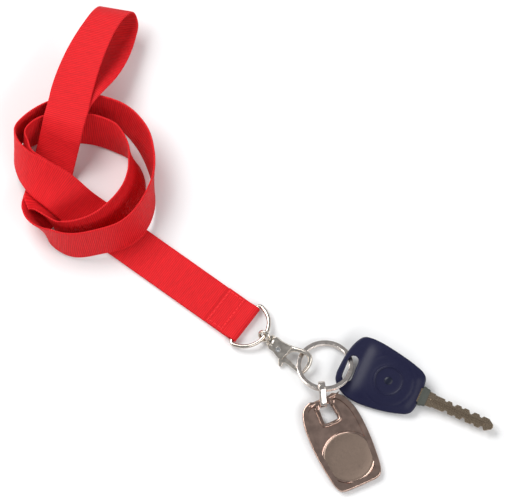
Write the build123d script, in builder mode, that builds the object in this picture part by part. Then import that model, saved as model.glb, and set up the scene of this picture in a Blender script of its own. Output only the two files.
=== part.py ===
"""A lanyard tied in a loose overhand knot, with its D-ring, swivel clasp, split ring, key and fob.

The ribbon is one length of 20 mm webbing. It leaves the D-ring doubled, makes the knot and ends in
a bight, so its route is two layers that lie together at the tail and under the knot and part at the
turns. Z is up, the floor is at Z = 0, and the middle of the outline is at X = Y = 0.
"""
from build123d import *
import math
import os

os.makedirs("parts", exist_ok=True)

# ---------------------------------------------------------------- driving dimensions, in mm
middle = Vector(-0.07, 0.12, 0)  # middle of the outline on the floor, in the layout's own numbers

strap_width = 20.0
strap_thickness = 0.9
layer_spacing = 1.1
steps_per_span = 3

d_wire = 2.0
d_bow_radius = 11.6
d_corner_radius = 1.6
fold_clearance = 0.08
flap_length = 14.0
stitch_length = 1.6
stitch_pitch = 2.4
stitch_size = 0.3

clasp_thickness = 3.4
loop_thickness = 2.4
clasp_edge = 0.4
eye_radius = 2.5
eye_wire = 1.6
eye_distance = 11.5
collar_radius = 3.0
post_radius = 0.9
running_clearance = 0.06
pin_radius = 0.8
pin_x = 20.9
pin_y = -1.4
lever_hub = 2.1
lever_thickness = 1.6
lever_slot = 1.9
gate_thickness = 1.2
spring_wire = 0.34

ring_radius = 12.4
ring_width = 2.2
ring_turn = 0.97
ring_gap = 0.06
ring_edge = 0.3

key_bow_length = 40.6
key_bow_width = 31.4
key_edge_thickness = 2.0
key_middle_thickness = 5.2
blade_thickness = 2.2
blade_width = 7.0
blade_length = 33.8

fob_thickness = 2.4
fob_rim = 1.2
disc_radius = 11.9
disc_thickness = 0.8

link_width = 3.2
link_band = 1.0
link_inner_length = 11.0
link_inner_height = 4.4

# ---------------------------------------------------------------- layout on the floor
tail_angle = -36.6
bar_point = Vector(-3.8, -37.4, 2.0) - middle
bow_tilt = 7.3
clasp_angle = -35.5
clasp_rise = 1.5
clasp_roll = 22.0
eye_roll = 58.0
ring_point = Vector(34.3, -59.0, 4.05) - middle
ring_tilt = 12.0
key_point = Vector(62.5, -65.9, 4.85) - middle
key_angle = -24.7
key_roll = 12.0
key_pitch = 1.0
fob_point = Vector(32.3, -74.8, 2.85) - middle
fob_angle = -65.5
fob_pitch = 1.6
link_point = Vector(33.1, -73.5, 5.2) - middle
link_angle = -84.0
link_pitch = 32.0

# ---------------------------------------------------------------- the ribbon's route
# Each point is X, Y, Z and the lean in degrees: 0 stands on edge, 90 lies flat.
doubled_tail = [
    (-5.4, -36.2, 1.02, 90), (-24.0, -22.4, 1.02, 90), (-38.0, -12.0, 1.02, 90),
    (-51.0, -2.4, 1.02, 90), (-62.8, 6.2, 1.45, 88), (-73.4, 13.0, 3.2, 81),
    (-82.4, 18.4, 7.2, 73), (-91.8, 24.8, 13.8, 68), (-101.4, 31.2, 15.6, 48),
    (-108.0, 38.2, 14.4, 28),
]
outer_turn = [
    (-112.6, 45.4, 12.8, 10), (-112.8, 52.6, 11.0, -6), (-107.6, 58.8, 10.0, -14),
    (-97.5, 64.6, 9.8, -20), (-85.0, 68.4, 9.8, -22), (-72.5, 67.6, 9.8, -21),
    (-61.2, 63.0, 9.8, -20), (-53.0, 53.8, 9.8, -19), (-48.9, 43.6, 9.9, -12),
    (-47.2, 32.6, 10.4, -2), (-48.6, 21.4, 11.4, 12), (-53.4, 11.0, 12.6, 20),
    (-61.6, 3.8, 12.8, 20), (-73.6, 0.0, 12.4, 18), (-85.6, -1.2, 11.2, 15),
    (-95.8, 3.0, 10.8, 2), (-101.6, 8.8, 10.2, -22), (-103.2, 12.4, 8.1, -42),
]
inner_turn = [
    (-108.8, 45.6, 12.0, 12), (-108.4, 51.6, 10.8, -4), (-103.4, 56.2, 9.8, -16),
    (-94.6, 58.6, 9.6, -24), (-84.0, 58.4, 9.5, -28), (-74.6, 57.0, 9.5, -27),
    (-66.4, 53.6, 9.5, -22), (-60.2, 47.6, 10.1, -4), (-56.2, 39.6, 9.9, 16),
    (-55.4, 30.8, 10.4, 26), (-58.8, 22.0, 12.0, 27), (-65.0, 14.4, 13.6, 24),
    (-72.8, 8.4, 13.9, 20), (-81.8, 5.2, 12.4, 18), (-90.4, 5.4, 11.0, 12),
    (-94.8, 9.2, 10.6, -6), (-96.4, 12.8, 9.8, -29), (-97.8, 17.0, 7.9, -54),
]
doubled_rise = [
    (-100.0, 21.0, 5.4, -72), (-98.9, 25.7, 2.8, -80), (-97.2, 32.4, 1.9, -90),
    (-95.4, 39.4, 3.4, -93), (-93.2, 46.4, 9.4, -94), (-91.2, 52.4, 16.4, -94),
    (-89.6, 58.2, 20.8, -92), (-87.8, 64.6, 21.3, -92),
]
lower_strand = [
    (-85.0, 71.0, 20.7, -93), (-79.4, 78.2, 19.4, -98), (-73.2, 86.0, 14.0, -107),
    (-68.0, 95.4, 8.8, -115), (-64.6, 104.2, 6.8, -120), (-62.9, 112.0, 8.0, -122),
]
upper_strand = [
    (-86.0, 73.0, 22.0, -95), (-83.0, 83.4, 21.2, -103), (-78.8, 94.8, 20.0, -112),
    (-73.6, 105.6, 18.8, -120), (-68.4, 113.6, 17.2, -123),
]
bight_end = Vector(-64.8, 116.8, 12.8) - middle


tail_spread = {8: 1.2, 9: 1.7}
rise_spread = {0: 1.9, 1: 1.5, 2: 1.15}


# ---------------------------------------------------------------- the ribbon's layers
def lean_vector(tangent, lean):
    side = tangent.cross(Vector(0, 0, 1)).normalized()
    angle = math.radians(lean)
    return side.cross(tangent) * math.cos(angle) + side * math.sin(angle)


def tangents(points):
    ends = [points[0] * 2 - points[1]] + points + [points[-1] * 2 - points[-2]]
    return [(ends[i + 2] - ends[i]).normalized() for i in range(len(points))]


def stations(rows):
    """Centre and width vector of each row of the route."""
    centres = [Vector(*row[:3]) - middle for row in rows]
    directions = tangents(centres)
    return centres, [lean_vector(directions[i], rows[i][3]) for i in range(len(rows))]


def doubled(rows, side, spread):
    """One layer's stations where two lie together, to one side of their shared middle."""
    centres, widths = stations(rows)
    directions = tangents(centres)
    for i in range(len(rows)):
        gap = side * layer_spacing / 2 * spread.get(i, 1.0)
        centres[i] = centres[i] + widths[i].cross(directions[i]) * gap
    return centres, widths


def layer(turn, end, side, following):
    """One whole layer's stations, from the D-ring to the bight."""
    rows = doubled_tail + turn + doubled_rise + end + following
    centres, widths = stations(rows)
    start = len(doubled_tail) + len(turn)
    pairs = ((0, doubled_tail, tail_spread), (start, doubled_rise, rise_spread))
    for first, part, spread in pairs:
        shifted, shared = doubled(part, side, spread)
        centres[first:first + len(part)] = shifted
        widths[first:first + len(part)] = shared
    keep = len(rows) - len(following)
    return centres[:keep], widths[:keep]


def between(centres, values, index, fraction):
    """Centripetal Catmull-Rom value between two stations."""
    ends = [centres[0] * 2 - centres[1]] + centres + [centres[-1] * 2 - centres[-2]]
    rows = [values[0] * 2 - values[1]] + values + [values[-1] * 2 - values[-2]]
    p0, p1, p2, p3 = rows[index:index + 4]
    gaps = [(ends[index + k + 1] - ends[index + k]).length ** 0.5 for k in range(3)]
    t0, t1 = 0.0, gaps[0]
    t2 = t1 + gaps[1]
    t3 = t2 + gaps[2]
    t = t1 + (t2 - t1) * fraction
    a1 = p0 * ((t1 - t) / (t1 - t0)) + p1 * ((t - t0) / (t1 - t0))
    a2 = p1 * ((t2 - t) / (t2 - t1)) + p2 * ((t - t1) / (t2 - t1))
    a3 = p2 * ((t3 - t) / (t3 - t2)) + p3 * ((t - t2) / (t3 - t2))
    b1 = a1 * ((t2 - t) / (t2 - t0)) + a2 * ((t - t0) / (t2 - t0))
    b2 = a2 * ((t3 - t) / (t3 - t1)) + a3 * ((t - t1) / (t3 - t1))
    return b1 * ((t2 - t) / (t2 - t1)) + b2 * ((t - t1) / (t2 - t1))


def ribbon_planes(centres, widths, first, last):
    """Cross-section planes from one station to another, X across the ribbon, Z along it."""
    planes = []
    for step in range(first * steps_per_span, last * steps_per_span + 1):
        index = min(step // steps_per_span, len(centres) - 2)
        fraction = step / steps_per_span - index
        here = between(centres, centres, index, fraction)
        back = between(centres, centres, index, fraction - 0.02)
        ahead = between(centres, centres, index, fraction + 0.02)
        across = between(centres, widths, index, fraction)
        along = (ahead - back).normalized()
        across = (across - along * across.dot(along)).normalized()
        planes.append(Plane(origin=here, x_dir=across, z_dir=along))
    return planes


outer_centres, outer_widths = layer(outer_turn, lower_strand, 1.0, [])
inner_centres, inner_widths = layer(inner_turn, upper_strand, -1.0, [])
bight_width = (outer_widths[-1] + inner_widths[-1]).normalized()
bight_centres = outer_centres + [bight_end] + inner_centres[::-1]
bight_widths = outer_widths + [bight_width] + inner_widths[::-1]

# Each segment of the ribbon: its name, and its first and last station counted along the ribbon.
tail_last = 9
turn_middle = 18
rise_first = 28
rise_last = 35
end = len(bight_centres) - 1
segments = (
    ("strap_tail_upper", 0, tail_last),
    ("strap_outer_turn_far", tail_last, turn_middle),
    ("strap_outer_turn_near", turn_middle, rise_first),
    ("strap_rise_lower", rise_first, rise_last),
    ("strap_bight_lower", rise_last, len(outer_centres)),
    ("strap_bight_upper", len(outer_centres), end - rise_last),
    ("strap_rise_upper", end - rise_last, end - rise_first),
    ("strap_inner_turn_near", end - rise_first, end - turn_middle),
    ("strap_inner_turn_far", end - turn_middle, end - tail_last),
    ("strap_tail_lower", end - tail_last, end),
)
for name, first, last in segments:
    with BuildPart() as segment:
        for section in ribbon_planes(bight_centres, bight_widths, first, last):
            with BuildSketch(section):
                Rectangle(strap_width, strap_thickness)
        loft(ruled=True)
    segment.part.label = name
    export_step(segment.part, f"parts/{name}.step")

# ---------------------------------------------------------------- the sewn end round the D-ring
# The lower layer passes under the bar, wraps it and comes back on top as a sewn flap.
tail_plane = Plane(
    origin=Vector(bar_point.X, bar_point.Y, 0),
    x_dir=Vector(1, 0, 0).rotate(Axis.Z, tail_angle),
    z_dir=Vector(0, -1, 0).rotate(Axis.Z, tail_angle),
)
tail_start = tail_plane.to_local_coords(inner_centres[0])
wrap_radius = d_wire / 2 + fold_clearance + strap_thickness / 2
lower_z = bar_point.Z - wrap_radius
flap_z = 1.02 + layer_spacing / 2 + strap_thickness + 0.03
with BuildPart() as strap_fold:
    with BuildSketch(tail_plane):
        with BuildLine():
            under = Line((tail_start.X + 0.1, lower_z), (0, lower_z))
            wrap = ThreePointArc(
                under @ 1,
                (wrap_radius, bar_point.Z),
                (0, bar_point.Z + wrap_radius),
            )
            slope = Spline(
                wrap @ 1,
                (-5.2, flap_z),
                tangents=[Vector(-1, 0), Vector(-1, 0)],
            )
            Line(slope @ 1, (tail_start.X - flap_length, flap_z))
        trace(line_width=strap_thickness)
    extrude(amount=strap_width / 2, both=True)
strap_fold.part.label = "strap_fold"
export_step(strap_fold.part, "parts/strap_fold.step")

# Lock-stitches: rows across the flap, and one row up each edge.
stitch_z = flap_z + strap_thickness / 2 + stitch_size / 2
stitch_middle = tail_start.X - flap_length + 5.0
with BuildPart() as strap_stitches:
    with BuildSketch(Plane.XY.offset(stitch_z - stitch_size / 2)):
        with Locations(Location((bar_point.X, bar_point.Y, 0), (0, 0, tail_angle))):
            for row_x in (stitch_middle - 4.0, stitch_middle + 4.0):
                with Locations((row_x, 0)):
                    with GridLocations(1.0, stitch_pitch, 1, 8):
                        Rectangle(stitch_size * 1.6, stitch_length)
            for row_y in (-8.6, 8.6):
                with Locations((stitch_middle, row_y)):
                    with GridLocations(stitch_pitch, 1.0, 3, 1):
                        Rectangle(stitch_length, stitch_size * 1.6)
    extrude(amount=stitch_size)
strap_stitches.part.label = "strap_stitches"
export_step(strap_stitches.part, "parts/strap_stitches.step")

# ---------------------------------------------------------------- the D-ring
d_plane = Plane(
    origin=bar_point,
    x_dir=Vector(math.cos(math.radians(bow_tilt)), 0, math.sin(math.radians(bow_tilt))).rotate(
        Axis.Z, tail_angle
    ),
    z_dir=Vector(-math.sin(math.radians(bow_tilt)), 0, math.cos(math.radians(bow_tilt))).rotate(
        Axis.Z, tail_angle
    ),
)
corner_y = math.sqrt((d_bow_radius - d_corner_radius) ** 2 - d_corner_radius ** 2)
corner_scale = d_bow_radius / (d_bow_radius - d_corner_radius)
corner_angle = (180.0 + math.degrees(math.atan2(corner_y, d_corner_radius))) / 2
corner_mid_x = d_corner_radius + d_corner_radius * math.cos(math.radians(corner_angle))
corner_mid_y = corner_y + d_corner_radius * math.sin(math.radians(corner_angle))
with BuildPart() as d_ring:
    with BuildLine(d_plane) as d_path:
        bar = Line((0, -corner_y), (0, corner_y))
        corner = ThreePointArc(
            bar @ 1,
            (corner_mid_x, corner_mid_y),
            (d_corner_radius * corner_scale, corner_y * corner_scale),
        )
        bow = ThreePointArc(
            corner @ 1,
            (d_bow_radius, 0),
            (d_corner_radius * corner_scale, -corner_y * corner_scale),
        )
        ThreePointArc(bow @ 1, (corner_mid_x, -corner_mid_y), bar @ 0)
    with BuildSketch(Plane(origin=bar @ 0, z_dir=bar % 0)):
        Circle(d_wire / 2)
    sweep()
d_ring.part.label = "d_ring"
export_step(d_ring.part, "parts/d_ring.step")

# ---------------------------------------------------------------- the clasp
clasp_side = Vector(0, 1, 0).rotate(Axis.Z, clasp_angle)
clasp_axis = Vector(
    math.cos(math.radians(clasp_rise)), 0, math.sin(math.radians(clasp_rise))
).rotate(Axis.Z, clasp_angle)
eye_height = bar_point.Z + d_bow_radius * math.sin(math.radians(bow_tilt))
clasp_height = eye_height - eye_distance * math.sin(math.radians(clasp_rise))
clasp_origin = Vector(bar_point.X, bar_point.Y, clasp_height)


def clasp_plane(roll):
    """X along the clasp, Y towards its spine, raised by the roll."""
    angle = math.radians(roll)
    normal = clasp_axis.cross(clasp_side) * math.cos(angle) - clasp_side * math.sin(angle)
    return Plane(origin=clasp_origin, x_dir=clasp_axis, z_dir=normal)


eye_plane = clasp_plane(eye_roll)
hook_plane = clasp_plane(clasp_roll)
collar_start = eye_distance + eye_radius + 0.2
collar_end = 15.7
neck_start = 16.0
head_start = 17.2
head_end = 17.9
head_radius = 1.2


def across(plane, x):
    """A plane square to the clasp's axis."""
    return Plane(origin=plane.from_local_coords(Vector(x, 0, 0)), x_dir=plane.y_dir, z_dir=plane.x_dir)


with BuildPart() as swivel_eye:
    with BuildSketch(eye_plane):
        with Locations((eye_distance, 0)):
            Circle(eye_radius + eye_wire / 2)
            Circle(eye_radius - eye_wire / 2, mode=Mode.SUBTRACT)
    extrude(amount=eye_wire / 2, both=True)
    fillet(swivel_eye.edges(), eye_wire * 0.35)
    with BuildSketch(across(eye_plane, collar_start)):
        Circle(collar_radius)
    extrude(amount=collar_end - collar_start)
    with BuildSketch(across(eye_plane, collar_end)):
        Circle(post_radius)
    extrude(amount=head_start - collar_end)
    with BuildSketch(across(eye_plane, head_start)):
        Circle(head_radius)
    extrude(amount=head_end - head_start)
swivel_eye.part.label = "swivel_eye"
export_step(swivel_eye.part, "parts/swivel_eye.step")

hook_outline = (
    (neck_start, -3.1), (19.5, -3.7), (22.0, -4.6), (24.6, -4.8), (25.4, -3.0), (26.4, 0.2),
    (28.2, 2.0), (31.0, 3.1), (33.6, 3.4), (35.4, 2.4), (36.1, 0.4), (36.1, -2.6), (35.9, -4.2),
    (36.7, -4.9), (37.5, -4.2), (38.1, -1.6), (38.0, 1.4), (36.9, 4.0), (34.8, 5.4), (32.0, 5.5),
    (28.6, 4.6), (25.0, 3.5), (20.5, 2.9), (neck_start, 2.7),
)
slot_outline = (
    (18.6, -7.0), (18.6, 0.6), (20.0, 1.4), (22.6, 1.4), (24.0, 1.6), (27.2, 3.2), (30.0, 0.0),
    (30.0, -7.0),
)
with BuildPart() as hook_body:
    with BuildSketch(hook_plane):
        Polygon(*hook_outline, align=None)
    extrude(amount=loop_thickness / 2, both=True)
    with BuildSketch(hook_plane):
        Polygon(*hook_outline, align=None)
        with Locations((neck_start + 5.0, 0)):
            Rectangle(10.0, 20.0, mode=Mode.INTERSECT)
    extrude(amount=clasp_thickness / 2, both=True)
    # The slot the lever works in, the pocket of the swivel's head, and the bores.
    with BuildSketch(hook_plane):
        with Locations((pin_x, pin_y)):
            Circle(lever_hub + 0.3)
        with Locations((26.0, -4.0)):
            Rectangle(10.2, 6.4)
    extrude(amount=lever_slot / 2, both=True, mode=Mode.SUBTRACT)
    with BuildSketch(across(hook_plane, neck_start)):
        Circle(post_radius + running_clearance)
    extrude(amount=head_start - neck_start, mode=Mode.SUBTRACT)
    with BuildSketch(across(hook_plane, head_start - 0.1)):
        Circle(head_radius + 0.1)
    extrude(amount=head_end - head_start + 0.2, mode=Mode.SUBTRACT)
    with BuildSketch(hook_plane):
        with Locations((pin_x, pin_y)):
            Circle(pin_radius)
    extrude(amount=clasp_thickness, both=True, mode=Mode.SUBTRACT)
hook_body.part.label = "hook_body"
export_step(hook_body.part, "parts/hook_body.step")

with BuildPart() as lever_pin:
    with BuildSketch(hook_plane.offset(-clasp_thickness / 2)):
        with Locations((pin_x, pin_y)):
            Circle(pin_radius)
    extrude(amount=clasp_thickness)
    with BuildSketch(hook_plane.offset(clasp_thickness / 2), hook_plane.offset(-clasp_thickness / 2 - 0.25)):
        with Locations((pin_x, pin_y)):
            Circle(pin_radius * 1.6)
    extrude(amount=0.25)
lever_pin.part.label = "lever_pin"
export_step(lever_pin.part, "parts/lever_pin.step")

lever_outline = (
    (20.6, -3.4), (21.4, 0.6), (24.4, -1.9), (27.0, -2.5), (27.0, -5.0), (25.4, -5.1), (26.6, -6.9),
    (25.0, -8.0), (23.3, -5.3),
)
gate_outline = ((26.8, -2.5), (34.6, -4.2), (35.2, -4.6), (35.0, -5.5), (29.0, -5.1), (26.8, -5.0))
with BuildPart() as lever:
    with BuildSketch(hook_plane):
        Polygon(*lever_outline, align=None)
        with Locations((pin_x, pin_y)):
            Circle(lever_hub)
    extrude(amount=lever_thickness / 2, both=True)
    with BuildSketch(hook_plane.offset(-lever_thickness / 2)):
        Polygon(*gate_outline, align=None)
    extrude(amount=gate_thickness)
    with BuildSketch(hook_plane):
        with Locations((pin_x, pin_y)):
            Circle(pin_radius + running_clearance)
    extrude(amount=clasp_thickness, both=True, mode=Mode.SUBTRACT)
    with BuildSketch(hook_plane.offset(-0.4)):
        with Locations((pin_x, pin_y)):
            Circle(1.6)
    extrude(amount=lever_thickness, mode=Mode.SUBTRACT)
lever.part.label = "lever"
export_step(lever.part, "parts/lever.step")

with BuildPart() as lever_spring:
    with BuildLine():
        coil = Helix(
            pitch=spring_wire * 1.1,
            height=spring_wire * 2.2,
            radius=1.2,
            center=hook_plane.from_local_coords(Vector(pin_x, pin_y, -0.15)),
            direction=hook_plane.z_dir,
        )
    with BuildSketch(Plane(origin=coil @ 0, z_dir=coil % 0)):
        Circle(spring_wire / 2)
    sweep(is_frenet=True)
lever_spring.part.label = "lever_spring"
export_step(lever_spring.part, "parts/lever_spring.step")

# ---------------------------------------------------------------- the split ring
ring_lean = math.radians(ring_tilt)
ring_plane = Plane(
    origin=ring_point,
    x_dir=(1, 0, 0),
    z_dir=(0, math.sin(ring_lean), math.cos(ring_lean)),
)
with BuildPart() as split_ring:
    for start in (ring_gap / 2, -ring_gap / 2 - ring_turn):
        with BuildSketch(ring_plane.offset(start)):
            Circle(ring_radius + ring_width / 2)
            Circle(ring_radius - ring_width / 2, mode=Mode.SUBTRACT)
        extrude(amount=ring_turn)
    # The step where one turn of wire becomes the other.
    with BuildSketch(ring_plane.offset(-ring_gap)):
        with PolarLocations(ring_radius, 1, start_angle=24.0):
            Rectangle(ring_width - 2 * ring_edge, 5.0)
    extrude(amount=2 * ring_gap)
    rims = split_ring.edges().filter_by(GeomType.CIRCLE)
    chamfer([e for e in rims if abs(ring_plane.to_local_coords(e.arc_center).Z) > 0.5], ring_edge)
split_ring.part.label = "split_ring"
export_step(split_ring.part, "parts/split_ring.step")

# ---------------------------------------------------------------- the key


def tilted_plane(origin, angle, pitch, roll):
    """X along the piece, tipped down by the pitch, then rolled about X."""
    plane = Plane(origin=origin).rotated((0, 0, angle))
    plane = Plane(origin=origin, x_dir=plane.x_dir, z_dir=(0, 0, 1))
    down = math.radians(pitch)
    lean = math.radians(roll)
    x_dir = plane.x_dir * math.cos(down) - Vector(0, 0, 1) * math.sin(down)
    y_dir = plane.y_dir
    z_dir = x_dir.cross(y_dir)
    z_dir = z_dir * math.cos(lean) - y_dir * math.sin(lean)
    return Plane(origin=origin, x_dir=x_dir, z_dir=z_dir)


key_plane = tilted_plane(key_point, key_angle, key_pitch, key_roll)
key_outline = (
    (-22.2, -3.5), (-21.7, 3.0), (-20.3, 9.2), (-17.6, 14.0), (-13.5, 15.4), (-6.2, 15.2), (5.0, 13.4),
    (12.0, 11.7), (15.8, 10.2), (18.0, 7.4), (18.8, 0.0), (18.4, -7.4), (16.4, -10.6), (12.0, -12.4),
    (5.9, -14.0), (-2.0, -15.2), (-8.5, -15.7), (-14.0, -15.0), (-18.4, -13.0), (-21.0, -10.2),
    (-22.1, -7.0),
)
dome_height = (key_middle_thickness - key_edge_thickness) / 2
for name, side in (("key_bow_front", 1), ("key_bow_back", -1)):
    half_plane = Plane(origin=key_plane.origin, x_dir=key_plane.x_dir, z_dir=key_plane.z_dir * side)
    turned = [(x, y * side) for x, y in key_outline]
    with BuildPart() as key_half:
        with BuildSketch(half_plane):
            Polygon(*turned, align=None)
        extrude(amount=key_edge_thickness / 2)
        with BuildSketch(half_plane.offset(key_edge_thickness / 2)):
            with Locations((2.0, 0)):
                Circle(12.2)
        extrude(amount=dome_height, taper=62)
        # The slot for the ring, and a pocket shared with the other half.
        with BuildSketch(half_plane):
            with Locations(Location((-17.0, -1.9 * side, 0), (0, 0, 2 * side))):
                SlotOverall(12.8, 4.8, rotation=90)
        extrude(amount=key_middle_thickness, mode=Mode.SUBTRACT)
        with BuildSketch(half_plane):
            with Locations((4.0, 0)):
                Rectangle(13.0, 7.2)
            with Locations((14.0, 0)):
                Rectangle(12.0, blade_width)
        extrude(amount=blade_thickness / 2, mode=Mode.SUBTRACT)
    key_half.part.label = name
    export_step(key_half.part, f"parts/{name}.step")

with BuildPart() as key_transponder:
    with BuildSketch(key_plane.offset(-blade_thickness / 2)):
        with Locations((0.5, 0)):
            Rectangle(5.6, 6.8)
    extrude(amount=blade_thickness)
key_transponder.part.label = "key_transponder"
export_step(key_transponder.part, "parts/key_transponder.step")

bolster_start = 18.9
bolster_length = 3.4
blade_end = bolster_start + bolster_length + blade_length
top_bits = ((31.0, 0.8), (35.0, 1.3), (39.5, 0.7), (44.0, 1.5), (49.0, 1.0))
low_bits = ((32.5, 1.2), (37.0, 0.7), (41.5, 1.4), (46.5, 0.8), (51.0, 1.3))
with BuildPart() as key_blade:
    with BuildSketch(key_plane.offset(-blade_thickness / 2)):
        Polygon(
            (4.4, -3.2), (8.4, -3.2), (8.4, -blade_width / 2), (25.0, -blade_width / 2), (25.6, -3.0),
            (blade_end - 3.0, -3.0), (blade_end, -0.8), (blade_end, 0.8), (blade_end - 3.0, 3.0),
            (25.6, 3.0), (25.0, blade_width / 2), (8.4, blade_width / 2), (8.4, 3.2), (4.4, 3.2),
            align=None,
        )
        for side, bits in ((1, top_bits), (-1, low_bits)):
            for x, depth in bits:
                with Locations((x, side * 3.0)):
                    Circle(depth, mode=Mode.SUBTRACT)
    extrude(amount=blade_thickness)
    with BuildSketch(key_plane.offset(blade_thickness / 2 - 0.5), key_plane.offset(-blade_thickness / 2)):
        with Locations((39.5, 0)):
            Rectangle(24.0, 1.4)
    extrude(amount=0.5, mode=Mode.SUBTRACT)
key_blade.part.label = "key_blade"
export_step(key_blade.part, "parts/key_blade.step")

with BuildPart() as key_bolster:
    with BuildSketch(across(key_plane, bolster_start)):
        RectangleRounded(9.4, 4.4, 1.2)
    with BuildSketch(across(key_plane, bolster_start + bolster_length)):
        RectangleRounded(8.4, 3.6, 1.0)
    loft()
    with BuildSketch(across(key_plane, bolster_start - 1.0)):
        Rectangle(blade_width, blade_thickness)
    extrude(amount=6.0, mode=Mode.SUBTRACT)
key_bolster.part.label = "key_bolster"
export_step(key_bolster.part, "parts/key_bolster.step")

badge_z = key_middle_thickness / 2
with BuildPart() as key_badge:
    with BuildSketch(key_plane.offset(badge_z)):
        with Locations((2.0, 0)):
            Circle(7.5)
            Circle(6.9, mode=Mode.SUBTRACT)
    extrude(amount=0.35)
key_badge.part.label = "key_badge"
export_step(key_badge.part, "parts/key_badge.step")

with BuildPart() as key_stud:
    with BuildSketch(key_plane.offset(badge_z)):
        with Locations((2.0, 0)):
            Circle(2.0)
    extrude(amount=0.3)
key_stud.part.label = "key_stud"
export_step(key_stud.part, "parts/key_stud.step")

# ---------------------------------------------------------------- the fob and its link
fob_plane = tilted_plane(fob_point, fob_angle, fob_pitch, 0)
fob_outline = (
    (0.2, 3.8), (0.2, -3.8), (-0.3, -6.0), (1.4, -9.6), (5.0, -11.9), (12.0, -13.4), (22.8, -13.8),
    (33.5, -13.1), (42.0, -11.8), (45.6, -9.4), (46.2, -4.0), (46.2, 4.0), (45.6, 9.4), (42.0, 11.8),
    (33.5, 13.1), (22.8, 13.8), (12.0, 13.4), (5.0, 11.6), (1.4, 9.2), (-0.3, 5.8),
)
fob_slot = ((3.0, -3.3), (11.6, -3.9), (12.8, -2.8), (12.8, 2.8), (11.6, 3.9), (3.0, 3.3))
with BuildPart() as fob_body:
    with BuildSketch(fob_plane.offset(-fob_thickness / 2)):
        Polygon(*fob_outline, align=None)
    extrude(amount=fob_thickness)
    # Recessed panel inside the raised rim, on the front.
    with BuildSketch(fob_plane.offset(fob_thickness / 2 - 0.5)):
        Polygon(*fob_outline, align=None)
        offset(amount=-fob_rim, mode=Mode.REPLACE)
        with Locations((7.0, 0)):
            Rectangle(15.6, 12.0, mode=Mode.SUBTRACT)
    extrude(amount=1.0, mode=Mode.SUBTRACT)
    with BuildSketch(fob_plane):
        Polygon(*fob_slot, align=None)
    extrude(amount=4, both=True, mode=Mode.SUBTRACT)
    # The bar the link holds is thinner, from below.
    with BuildSketch(fob_plane.offset(-fob_thickness / 2)):
        with Locations((1.2, 0)):
            Rectangle(4.0, 6.6)
    extrude(amount=0.6, mode=Mode.SUBTRACT)
fob_body.part.label = "fob_body"
export_step(fob_body.part, "parts/fob_body.step")

with BuildPart() as fob_disc:
    with BuildSketch(fob_plane.offset(fob_thickness / 2 - 0.5)):
        with Locations((31.4, 0)):
            Circle(disc_radius)
    extrude(amount=disc_thickness)
fob_disc.part.label = "fob_disc"
export_step(fob_disc.part, "parts/fob_disc.step")

link_side = tilted_plane(link_point, link_angle, link_pitch, 0)
link_plane = Plane(origin=link_side.origin, x_dir=link_side.x_dir, z_dir=link_side.y_dir)
with BuildPart() as fob_link:
    with BuildSketch(link_plane):
        SlotOverall(link_inner_length + 2 * link_band, link_inner_height + 2 * link_band)
        SlotOverall(link_inner_length, link_inner_height, mode=Mode.SUBTRACT)
    extrude(amount=link_width / 2, both=True)
fob_link.part.label = "fob_link"
export_step(fob_link.part, "parts/fob_link.step")
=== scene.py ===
"""A red webbing lanyard tied in a loose knot, with its clasp, split ring, key and tag, on a pale floor."""
import math

import bmesh
import bpy
import numpy as np
from mathutils import Matrix, Vector


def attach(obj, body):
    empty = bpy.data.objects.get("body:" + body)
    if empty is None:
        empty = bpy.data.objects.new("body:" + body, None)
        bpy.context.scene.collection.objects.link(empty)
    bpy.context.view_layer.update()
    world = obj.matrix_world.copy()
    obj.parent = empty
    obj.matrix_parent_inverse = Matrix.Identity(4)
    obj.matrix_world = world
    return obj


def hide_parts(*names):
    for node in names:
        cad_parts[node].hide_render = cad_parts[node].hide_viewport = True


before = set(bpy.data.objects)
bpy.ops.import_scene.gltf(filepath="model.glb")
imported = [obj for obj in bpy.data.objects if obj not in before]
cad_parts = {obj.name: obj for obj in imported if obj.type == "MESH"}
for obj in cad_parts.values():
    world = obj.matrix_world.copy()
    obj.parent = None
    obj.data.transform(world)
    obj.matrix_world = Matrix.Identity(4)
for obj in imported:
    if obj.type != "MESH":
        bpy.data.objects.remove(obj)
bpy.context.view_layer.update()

MM = 0.001
RIB_PITCH = 0.9  # cross ribs of the webbing, in mm
UP = np.array([0.0, 0.0, 1.0])
MIDDLE = np.array([-0.07, 0.12, 0.0])  # middle of the outline, in the layout's own numbers


# ---------------------------------------------------------------- small helpers
def unit(vector):
    return vector / np.linalg.norm(vector, axis=-1, keepdims=True)


def turned(vector, degrees):
    """A vector turned about Z."""
    c, s = math.cos(math.radians(degrees)), math.sin(math.radians(degrees))
    x, y, z = vector
    return np.array([c * x - s * y, s * x + c * y, z])


class Place:
    """A local frame in millimetres, like a CAD plane."""

    def __init__(self, origin, x_dir, z_dir):
        self.o = np.array(origin, float)
        self.z = unit(np.array(z_dir, float))
        x = np.array(x_dir, float)
        self.x = unit(x - self.z * x.dot(self.z))
        self.y = np.cross(self.z, self.x)

    def at(self, x, y, z=0.0):
        return self.o + self.x * x + self.y * y + self.z * z

    def matrix(self, x=0.0, y=0.0, z=0.0):
        m = Matrix.Identity(4)
        for i, column in enumerate((self.x, self.y, self.z, self.at(x, y, z) * MM)):
            for j in range(3):
                m[j][i] = column[j]
        return m


def shade_smooth(obj, angle=35):
    for p in obj.data.polygons:
        p.use_smooth = True
    obj.data.set_sharp_from_angle(angle=math.radians(angle))
    return obj


def finished(obj, material, body, nodes, angle=35):
    """Material, smooth shading, the body it rides on, and the CAD nodes it stands for."""
    obj.data.materials.clear()
    obj.data.materials.append(material)
    shade_smooth(obj, angle)
    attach(obj, body)
    if nodes:
        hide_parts(*nodes)
    return obj


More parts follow.
